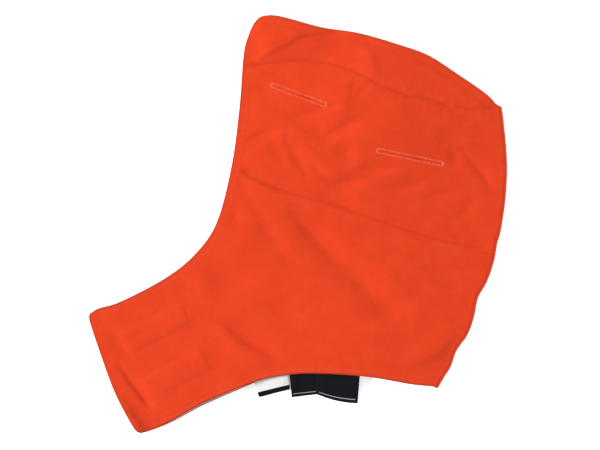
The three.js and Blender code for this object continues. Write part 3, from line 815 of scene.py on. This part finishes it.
lining_front = Path(FRONT_EDGE + [tuple(crown_middle(0.0, LINING_INSET))])
lining_hem = Path([FLAP_END[-1], *HEM, tuple(back_middle(1.0, LINING_INSET))])
lining_end = Path(FLAP_END)
FACE_SHARE = face_edge.length / (face_edge.length + lining_front.length)
lining_mouth = joined(lambda t: face_edge.at(1 - t), lining_front.at, FACE_SHARE)
lining_plan = coons(
    lining_end.at, lambda t: fold_middle(t, LINING_INSET), lining_mouth, lining_hem.at
)
LINING_ROUND = 1.6
LINING_HEM_BACK = 0.8
LINING_HEM_RUN = 4


def lining_half(is_near):
    """Half of the lining, from the flap's end to the fold and a quarter turn round it."""
    along, down = LINING_CELLS
    u = crowded(along)
    v = crowded(down, both=False)
    plan = lining_plan(u, v)
    to_open = distance(open_path, plan)
    full = rounding(to_open, LINING_ROUND)
    half = LINING / 2
    if is_near:
        core = over(lining_top, plan) - half
    else:
        core = over(lower_base, plan) + LINING_DEPTH + half
        hem_back = LINING_HEM_BACK * (1 - smooth(to_open, 0, LINING_HEM_RUN))
        shift = sliver(plan, u[None, :]) + hem_back
        plan = plan + np.stack([np.zeros_like(core), shift], -1)
    sign = 1 if is_near else -1
    angles = np.linspace(sign * math.pi / 2, sign * LINING_ROLL_END, ROLL_CELLS + 1)[1:]
    lift = core[-1] + half + LINING_DEPTH - 2 * FOLD_R
    middle = fold_middle(u, LINING_INSET)
    flat = skins(plan, core, sign * half, full)
    rolled = roll_grid(middle, fold_out(u), angles, full[-1], lift, LINING_DEPTH, LINING)
    outer, inner = (np.concatenate(grids) for grids in zip(flat, rolled))
    name, node = ("left_lining", "lining_left") if is_near else ("right_lining", "lining_right")
    return sheet_piece(name, outer, inner, cloths["lining"], node)


TAPE_ROUND = 0.9
TAPE_EDGE_FULL = 0.35


def tape_piece(which, is_hook):
    """A closure tape: hooks under the upper flap, loops under the lower one."""
    along, across = TAPE_CELLS
    x, y = np.meshgrid((crowded(along) - 0.5) * TAPE_LONG, (crowded(across) - 0.5) * TAPE_WIDE)
    plan = np.stack([x, y], -1) @ TAPE_AXES + np.array(TAPES[which])
    inside = np.minimum(TAPE_LONG / 2 - np.abs(x), TAPE_WIDE / 2 - np.abs(y))
    full = lerp(TAPE_EDGE_FULL, 1, rounding(inside, TAPE_ROUND))
    half = TAPE / 2
    if is_hook:
        core = over(lining_top, plan) - LINING - GAP - half
    else:
        core = np.full(x.shape, half)
    outer, inner = skins(plan, core, half, full)
    kind = "hook" if is_hook else "loop"
    name, node = f"{kind}_tape_{which}", f"{kind}_strip_{which}"
    return sheet_piece(name, outer, inner, cloths[kind], node, weld=0)


# A label's depth under the lining and height over the surface, and the shares of the way down
# it where it starts to drop and to curl, and across it where its lap ends.
LABEL_UNDER = 0.9
LABEL_CLEAR = 0.25
LABEL_DROP_FROM = 0.28
LABEL_CURL_FROM = 0.4
LABEL_LAP = (0.06, 0.45)
LABEL_CURL = 0.9
LABEL_EDGE_FULL = 0.4
LABEL_BREADTH = 20.5


def label_piece(which, material):
    """A cloth label from the inside of the hem down to just above the surface."""
    row = LABELS[which]
    sewn_left, sewn_right, free_left, free_right = np.array(row.ends, float)
    across, down = LABEL_CELLS
    s = np.linspace(0, 1, across + 1)[None, :]
    w = np.linspace(0, 1, down + 1)[:, None]
    top = lerp(sewn_left, sewn_right, s[..., None])
    bottom = lerp(free_left, free_right, s[..., None])
    bowed = row.bow * 4 * s * (1 - s)
    bottom = bottom - np.stack([0 * bowed, bowed], -1)
    plan = lerp(top, bottom, w[..., None])
    sewn = over(lining_top, top) - LINING - LABEL_UNDER
    z = lerp(sewn, LABEL + LABEL_CLEAR, smooth(w, LABEL_DROP_FROM, 1))
    z = z + LABEL_CURL * (2 * s - 1) ** 2 * smooth(w, LABEL_CURL_FROM, 1)
    z = z + row.lap * (1 - smooth(s, *LABEL_LAP))
    inside = np.minimum(np.minimum(s, 1 - s), np.minimum(w, 1 - w)) * LABEL_BREADTH
    full = lerp(LABEL_EDGE_FULL, 1, rounding(inside, LABEL))
    outer, inner = skins(plan, z - LABEL / 2, LABEL / 2, full)
    marks = {"across": s + 0 * w, "down": w + 0 * s}
    return sheet_piece(
        f"{which}_label", outer, inner, material, f"label_{which}", weld=0, marks=marks
    )


# Stitches: short threads that rise over the cloth and dive into it at both ends. A ring's
# share of the way along a thread, and its share of the thread's radius.
Thread = namedtuple("Thread", "radius rise dive")
THREAD_RINGS = [(0.0, 0.45), (0.18, 0.9), (0.5, 1.0), (0.82, 0.9), (1.0, 0.45)]
THREAD_SIDES = 6


def threads(name, starts, ends, thread, material):
    """One mesh of many threads, each from a start to an end point."""
    way = unit(ends - starts)
    side = unit(np.cross(way, np.array([0, 0, 1.0])))
    up = np.cross(side, way)
    angles = np.arange(THREAD_SIDES) * 2 * math.pi / THREAD_SIDES
    points = []
    for t, share in THREAD_RINGS:
        arch = (thread.rise + thread.dive) * math.sin(math.pi * t) - thread.dive
        core = lerp(starts, ends, t) + up * arch
        for angle in angles:
            around = side * math.cos(angle) + up * math.sin(angle)
            points.append(core + thread.radius * share * around)
    points = np.stack(points, 1)
    count = len(THREAD_RINGS) * THREAD_SIDES
    rings = np.arange(count).reshape(-1, THREAD_SIDES)
    turned = np.roll(rings, -1, 1)
    walls = quads(rings[:-1], turned[:-1], turned[1:], rings[1:]).tolist()
    faces = [*walls, rings[0, ::-1].tolist(), rings[-1].tolist()]
    all_faces = [[k * count + i for i in face] for k in range(len(points)) for face in faces]
    return mesh_object(name, points.reshape(-1, 3), all_faces, material)


def stitching(name, rows, thread, material):
    """A piece of many stitches on the upper side; a row is its starts and its ends in plan."""
    starts, ends = (np.vstack(spots) for spots in zip(*rows))
    on_top = [place(plan, upper_top(plan)) for plan in (starts, ends)]
    return threads(name, *on_top, thread, material)


STITCH_PITCH = 3.1
STITCH_LONG = 2.4
STITCH_REACH = 0.01
TOP_THREAD = Thread(radius=0.24, rise=0.14, dive=0.28)


def stitch_run(way, length):
    """Starts and ends of a row of stitches along way(share)."""
    count = int(length / STITCH_PITCH)
    t = (np.arange(count) + 0.5) / count
    half = STITCH_LONG / 2 / length
    return way(t - half), way(t + half)


def edge_stitching():
    """Topstitching inside the front, face, flap and hem edges of the upper side."""
    rows = []
    for path, inward in ((front_edge, -1), (face_edge, 1), (hem_edge, 1)):
        trim = STITCH_IN / path.length

        def way(t, path=path, inward=inward, trim=trim):
            t = lerp(trim, 1 - trim, t)
            return path.at(t) + inward * STITCH_IN * path.out(t, STITCH_REACH)

        rows.append(stitch_run(way, path.length * (1 - 2 * trim)))
    return stitching("edge_stitching", rows, TOP_THREAD, cloths["thread"])


def tape_stitching():
    """The stitched rectangles that hold the closure tape."""
    x = TAPE_LONG / 2 - TAPE_STITCH_IN
    y = TAPE_WIDE / 2 - TAPE_STITCH_IN
    corners = np.array([(-x, -y), (x, -y), (x, y), (-x, y), (-x, -y)]) @ TAPE_AXES
    rows = []
    for middle in TAPES.values():
        for ends in zip(corners + middle, corners[1:] + middle):
            path = Path(ends)
            rows.append(stitch_run(path.at, path.length))
    return stitching("tape_stitching", rows, TOP_THREAD, cloths["thread"])


def slot_axes(a, b):
    """The ways along and across a slot from a to b."""
    way = unit(b - a)
    return way, np.array([-way[1], way[0]])


SATIN_PITCH = 1.2
SATIN_AT = 1.9
SATIN_HALF = 0.8
SATIN_THREAD = Thread(radius=0.36, rise=0.14, dive=0.2)
BAR_COUNT = 2
BAR_HALF = SATIN_AT + SATIN_HALF


def slot_stitching():
    """Satin stitches down both sides of each strap slot, with a bar at each end."""
    rows = []
    for a, b in np.array(SLOTS, float):
        way, across = slot_axes(a, b)
        count = int(np.linalg.norm(b - a) / SATIN_PITCH)
        middles = lerp(a, b, (np.arange(count) + 0.5)[:, None] / count)
        for side in (-1, 1):
            line = middles + across * (side * SATIN_AT)
            rows.append((line - across * SATIN_HALF, line + across * SATIN_HALF))
        for corner, sign in ((a, -1), (b, 1)):
            bars = corner + way * (sign * SATIN_PITCH) * np.arange(BAR_COUNT)[:, None]
            rows.append((bars - across * BAR_HALF, bars + across * BAR_HALF))
    return stitching("slot_stitching", rows, SATIN_THREAD, cloths["satin"])


def slit_cutter(shift):
    """Upright narrow prisms, one through each strap slot, all moved by a shift."""
    half_widths = np.array(SLIT_HALF_WIDTHS)[:, None]
    shares = np.linspace(0, 1, len(half_widths))[:, None]
    points = []
    faces = []
    for a, b in np.array(SLOTS, float) + np.array(shift):
        line = lerp(a, b, shares)
        wide = half_widths * slot_axes(a, b)[1]
        ring = np.vstack([line - wide, (line + wide)[::-1]])
        low = np.arange(len(ring)) + len(points)
        top = low + len(ring)
        for z in SLIT_REACH:
            points.extend([x, y, z] for x, y in ring)
        faces.extend([low[::-1].tolist(), top.tolist()])
        faces.extend(quads(low, np.roll(low, -1), np.roll(top, -1), top).tolist())
    mesh = bpy.data.meshes.new("slits")
    mesh.from_pydata(in_metres(np.array(points)), [], faces)
    return add_object("slits", mesh)


SLIT_CORNER = math.radians(50)


def cut_slits(shift, *pieces):
    """The strap slots cut through the given pieces."""
    cutter = slit_cutter(shift)
    for piece in pieces:
        cut = piece.modifiers.new("slits", "BOOLEAN")
        cut.object = cutter
        cut.operation = "DIFFERENCE"
        cut.solver = "EXACT"
        apply_modifier(piece)
        piece.data.set_sharp_from_angle(angle=SLIT_CORNER)
    bpy.data.objects.remove(cutter)


class Nodes:
    """Builds one material's nodes; a value is a number, a tuple or another node's output."""

    # The places of a mix node's two colours, and of the mixed one, among its sockets.
    MIX_COLORS = (6, 7)
    MIX_RESULT = 2

    def __init__(self, name):
        self.material = bpy.data.materials.new(name)
        self.material.use_nodes = True
        self.tree = self.material.node_tree
        self.shader = self.tree.nodes["Principled BSDF"]
        self.coords = self.add("TexCoord").outputs["Object"]

    def add(self, kind, **inputs):
        node = self.tree.nodes.new("ShaderNode" + kind)
        self.fill(node, inputs)
        return node

    def fill(self, node, inputs):
        """Sets a node's inputs by their names, with _ for a space."""
        for name, value in inputs.items():
            self.set(node.inputs[name.replace("_", " ")], value)

    def set(self, socket, value):
        if isinstance(value, bpy.types.NodeSocket):
            self.tree.links.new(value, socket)
        elif socket.type == "RGBA" and len(value) == 3:
            socket.default_value = (*value, 1)
        else:
            socket.default_value = value

    def math(self, operation, *values):
        node = self.add("Math")
        node.operation = operation
        for socket, value in zip(node.inputs, values):
            self.set(socket, value)
        return node.outputs[0]

    def weighed(self, *terms):
        """The sum of some outputs, each times its weight."""
        parts = [self.math("MULTIPLY", output, weight) for output, weight in terms]
        total = parts[0]
        for part in parts[1:]:
            total = self.math("ADD", total, part)
        return total

    def spread(self, share, low, high):
        """Values from low, where the share is 0, to high, where it is 1."""
        return self.math("ADD", low, self.math("MULTIPLY", share, high - low))

    def noise(self, scale, detail, roughness):
        noise = {"Scale": scale, "Detail": detail, "Roughness": roughness}
        return self.add("TexNoise", Vector=self.coords, **noise).outputs["Fac"]

    def wave(self, period, turn):
        """Sine ridges of a period in metres, across a direction in the plan and up steep cloth."""
        node = self.add("VectorMath")
        node.operation = "DOT_PRODUCT"
        self.set(node.inputs[0], self.coords)
        k = 2 * math.pi / period
        node.inputs[1].default_value = (k * math.cos(turn), k * math.sin(turn), k)
        return self.math("SINE", node.outputs["Value"])

    def mark(self, name):
        node = self.add("Attribute")
        node.attribute_name = name
        return node.outputs["Fac"]

    def between(self, value, low, high):
        """A soft step from 0 at low to 1 at high."""
        node = self.add("MapRange", Value=value, From_Min=low, From_Max=high)
        node.interpolation_type = "SMOOTHSTEP"
        return node.outputs["Result"]

    def within(self, value, low, high, soft):
        """1 between low and high, with a soft step inside each."""
        after = self.between(value, low, low + soft)
        return self.math("MULTIPLY", after, self.between(value, high, high - soft))

    def mix(self, share, a, b):
        node = self.add("Mix")
        node.data_type = "RGBA"
        self.set(node.inputs[0], share)
        for socket, value in zip(self.MIX_COLORS, (a, b)):
            self.set(node.inputs[socket], value)
        return node.outputs[self.MIX_RESULT]

    def bump(self, height, strength, depth):
        node = self.add("Bump", Strength=strength, Distance=depth, Height=height)
        self.fill(self.shader, {"Normal": node.outputs["Normal"]})

    def finish(self, **values):
        self.fill(self.shader, values)
        return self.material


# The shell cloth: its tones, how far wear reaches, how strong the painted shade is on edges, seam and
# fold, and what each part of the weave adds to its relief and to its tone.
SHELL_DEEP = (0.45, 0.0275, 0.0060)
SHELL_BRIGHT = (0.51, 0.038, 0.0080)
SHELL_WORN = (0.5, 0.05, 0.018)
# The painted shade's dark colour, mixed in on the open edges, along the seam and round the fold.
SHELL_PAINTED_SHADE = (0.16, 0.016, 0.008)
SHELL_SHEEN = (1.0, 0.42, 0.25)
SHELL_ROUGH = (0.78, 0.94)
WORN_SHARE = 0.2
PAINTED_SHADE_SHARE = 0.5
TWILL_RELIEF = 0.35
YARN_RELIEF = 0.2
FUZZ_RELIEF = 0.9
SLUB_TONE = 0.35
MOTTLE_TONE = 0.65
WEAVE_TONE = 0.1


def shell_material():
    """Brushed twill: diagonal ridges, crossing yarns, fuzz and slow changes of colour."""
    n = Nodes("shell_cloth")
    twill = n.wave(period=0.00085, turn=math.radians(58))
    yarn = n.wave(period=0.00048, turn=math.radians(90))
    fuzz = n.noise(scale=2600, detail=3, roughness=0.6)
    slub = n.noise(scale=320, detail=2, roughness=0.55)
    mottle = n.noise(scale=70, detail=3, roughness=0.6)
    weave = n.weighed((twill, TWILL_RELIEF), (yarn, YARN_RELIEF))
    tone = n.weighed((slub, SLUB_TONE), (mottle, MOTTLE_TONE), (weave, WEAVE_TONE))
    color = n.mix(n.between(tone, low=0.1, high=0.9), SHELL_DEEP, SHELL_BRIGHT)
    color = n.mix(n.math("MULTIPLY", n.mark("edge"), WORN_SHARE), color, SHELL_WORN)
    # Painted shade: darkens the cloth on the open edges, along the crown seam and round the fold.
    color = n.mix(n.math("MULTIPLY", n.mark("painted_shade"), PAINTED_SHADE_SHARE), color, SHELL_PAINTED_SHADE)
    n.bump(n.weighed((weave, 1), (fuzz, FUZZ_RELIEF)), strength=0.5, depth=0.00012)
    return n.finish(
        Base_Color=color,
        Roughness=n.spread(fuzz, *SHELL_ROUGH),
        Specular_IOR_Level=0.1,
        Sheen_Weight=0.05,
        Sheen_Roughness=0.45,
        Sheen_Tint=SHELL_SHEEN,
    )


# Plain cloths: dark and light tones, the weave's period in metres, the scale of the fuzz, the
# relief's strength and its depth in metres, and the sheen.
Cloth = namedtuple("Cloth", "dark light period fuzz strength depth sheen")
CLOTHS = {
    "lining": Cloth((0.30, 0.285, 0.28), (0.42, 0.40, 0.39), 0.0016, 1500, 0.8, 0.0006, 0.4),
    "hook": Cloth((0.26, 0.024, 0.008), (0.42, 0.05, 0.018), 0.0014, 2200, 1, 0.0007, 0.05),
    "loop": Cloth((0.30, 0.026, 0.009), (0.46, 0.055, 0.02), 0.002, 1500, 1, 0.0009, 0.4),
    "thread": Cloth((0.47, 0.036, 0.012), (0.54, 0.052, 0.019), 0.0004, 3000, 0.4, 0.0001, 0.1),
    "satin": Cloth((0.60, 0.08, 0.034), (0.74, 0.135, 0.065), 0.0004, 3000, 0.3, 0.00005, 0),
}
CLOTH_ROUGH = (0.7, 0.95)
WEAVE_RELIEF = 0.4


def plain_cloth(name):
    """A woven or brushed cloth in two close tones."""
    row = CLOTHS[name]
    n = Nodes(f"{name}_cloth")
    weave = n.math("MULTIPLY", n.wave(row.period, turn=0), n.wave(row.period, turn=math.pi / 2))
    fuzz = n.noise(scale=row.fuzz, detail=4, roughness=0.65)
    patch = n.noise(scale=140, detail=3, roughness=0.6)
    tone = n.weighed((fuzz, 0.5), (patch, 0.5))
    n.bump(n.weighed((weave, WEAVE_RELIEF), (fuzz, 1)), row.strength, row.depth)
    return n.finish(
        Base_Color=n.mix(n.between(tone, low=0.3, high=0.7), row.dark, row.light),
        Roughness=n.spread(fuzz, *CLOTH_ROUGH),
        Specular_IOR_Level=0.25,
        Sheen_Weight=row.sheen,
        Sheen_Roughness=0.5,
    )


# A label's band: shares of the way down it and across it.
Band = namedtuple("Band", "low high left right")
BAND_SOFT = 0.012
BAND_END_SOFT = 0.01
RIB_RELIEF = 0.5
LABEL_ROUGH = (0.55, 0.75)
LABEL_FUZZ = (0.35, 0.35, 0.36)
LABEL_FUZZ_SHARE = 0.006


def label_material(name, ground, stripe, band):
    """A smooth woven label: a ground with a plain band across it and fine ribs."""
    n = Nodes(name)
    in_rows = n.within(n.mark("down"), band.low, band.high, BAND_SOFT)
    in_span = n.within(n.mark("across"), band.left, band.right, BAND_END_SOFT)
    rib = n.wave(period=0.0006, turn=math.radians(82))
    fuzz = n.noise(scale=1800, detail=3, roughness=0.6)
    color = n.mix(n.math("MULTIPLY", in_rows, in_span), ground, stripe)
    color = n.mix(n.math("MULTIPLY", fuzz, LABEL_FUZZ_SHARE), color, LABEL_FUZZ)
    n.bump(n.weighed((rib, RIB_RELIEF), (fuzz, 1)), strength=0.35, depth=0.00008)
    return n.finish(
        Base_Color=color,
        Roughness=n.spread(fuzz, *LABEL_ROUGH),
        Specular_IOR_Level=0.04,
        Sheen_Weight=0.005,
    )


shell_cloth = shell_material()
cloths = {name: plain_cloth(name) for name in CLOTHS}
LABEL_BLACK = (0.004, 0.004, 0.006)
white_weave = label_material(
    "white_label",
    ground=(0.67, 0.67, 0.66),
    stripe=LABEL_BLACK,
    band=Band(low=0.78, high=1.1, left=-0.1, right=1.1),
)
black_weave = label_material(
    "black_label",
    ground=LABEL_BLACK,
    stripe=(0.30, 0.30, 0.30),
    band=Band(low=0.88, high=0.91, left=0.06, right=0.94),
)

# The pieces of the liner.
INNER_SHARE = 0.6
left_panel = side_panel(True)
right_panel = side_panel(False)
crown = crown_panel()
left_lining = lining_half(True)
right_lining = lining_half(False)
thin_inner(left_panel, INNER_SHARE)
cut_slits((0, 0), left_panel, left_lining)
cut_slits(LOWER_SLIT_SHIFT, right_panel, right_lining)
hook_tapes = [tape_piece(which, True) for which in TAPES]
loop_tapes = [tape_piece(which, False) for which in TAPES]
labels = {
    "white": label_piece("white", white_weave),
    "short": label_piece("short", black_weave),
    "long": label_piece("long", black_weave),
}
edge_stitches = edge_stitching()
tape_stitches = tape_stitching()
slot_stitches = slot_stitching()

# A plain pale floor, just under the liner, with a glow of its own.
FLOOR_HALF = 3.0
FLOOR_DOWN = -0.0003
FLOOR_TONES = ((0.93, 0.93, 0.93), (0.95, 0.95, 0.95))
FLOOR_GLOW = 0.5
floor_mesh = bpy.data.meshes.new("floor")
corners = [(-1, -1), (1, -1), (1, 1), (-1, 1)]
floor_mesh.from_pydata(
    [(FLOOR_HALF * x, FLOOR_HALF * y, FLOOR_DOWN) for x, y in corners], [], [(0, 1, 2, 3)]
)
floor_nodes = Nodes("floor_paper")
paper = floor_nodes.noise(scale=40, detail=2, roughness=0.5)
floor_mesh.materials.append(
    floor_nodes.finish(
        Base_Color=floor_nodes.mix(paper, *FLOOR_TONES),
        Roughness=0.9,
        Specular_IOR_Level=0.1,
        Emission_Color=(1, 1, 1),
        Emission_Strength=FLOOR_GLOW,
    )
)
add_object("floor", floor_mesh)

# The camera looks straight down on the middle of the photographed frame.
CAMERA_HIGH = 3.0
FRAME_WIDE = 0.552
FRAME_LEVEL = 0.008
FRAME_MIDDLE = (0.0017, -0.0011)
camera_data = bpy.data.cameras.new("camera")
camera_data.lens = camera_data.sensor_width * (CAMERA_HIGH - FRAME_LEVEL) / FRAME_WIDE
camera = add_object("camera", camera_data)
camera.location = (*FRAME_MIDDLE, CAMERA_HIGH)
bpy.context.scene.camera = camera


def area_light(name, spot, size, energy):
    """A square light that faces the middle of the liner."""
    data = bpy.data.lights.new(name, "AREA")
    data.energy = energy
    data.size = size
    light = add_object(name, data)
    light.location = spot
    light.rotation_euler = (-Vector(spot)).to_track_quat("-Z", "Y").to_euler()


# Soft studio light: a key from the face side, a weak fill from the back, an even surround.
SURROUND = 0.46
area_light("key", spot=(-5.4, 0.6, 3.2), size=2.0, energy=860)
area_light("fill", spot=(2.4, -0.1, 0.5), size=1.5, energy=64)
world = bpy.data.worlds.new("studio")
world.use_nodes = True
background = world.node_tree.nodes["Background"]
background.inputs["Color"].default_value = (1, 1, 1, 1)
background.inputs["Strength"].default_value = SURROUND
bpy.context.scene.world = world
bpy.context.scene.view_settings.view_transform = "Standard"
